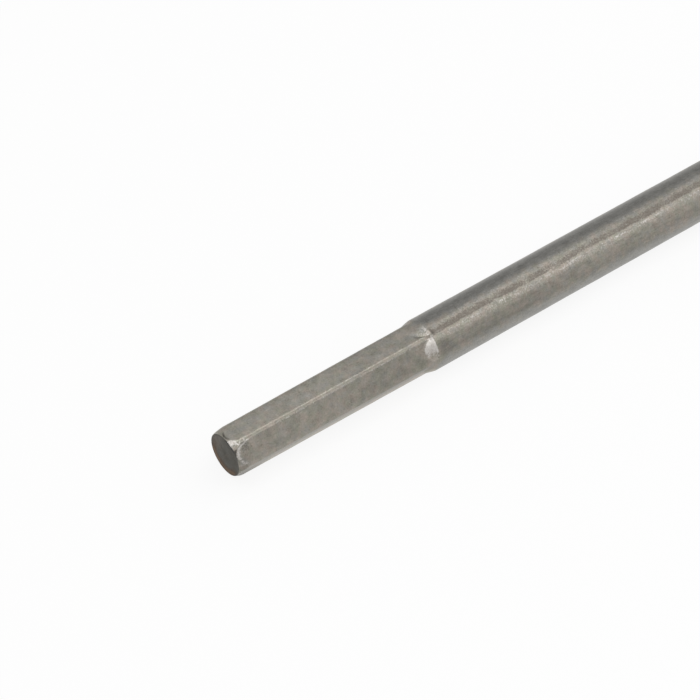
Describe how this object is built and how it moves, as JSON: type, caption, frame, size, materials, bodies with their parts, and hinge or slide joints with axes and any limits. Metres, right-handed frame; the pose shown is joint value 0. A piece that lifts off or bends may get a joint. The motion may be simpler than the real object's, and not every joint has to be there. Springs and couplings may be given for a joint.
{
  "type": "spade bit",
  "caption": "Flat wood-boring bit forged in one piece: slim hexagonal shank with chamfered end, conical shoulder, round shaft and flat blade with long centre point, lips and corners.",
  "frame": {"origin": "centre of the shank's flat end face", "axes": "+X along the bit's axis from the shank's end to the centre point, +Z square to the blade's flat faces, +Y across the blade"},
  "size_m": [0.152, 0.025, 0.0074],
  "materials": {
    "steel": "dull forged and tumbled steel with a light warm oxide, bright at rubbed corners and ground edges"
  },
  "bodies": {
    "root": {"spade_bit": "steel"}
  },
  "joints": []
}
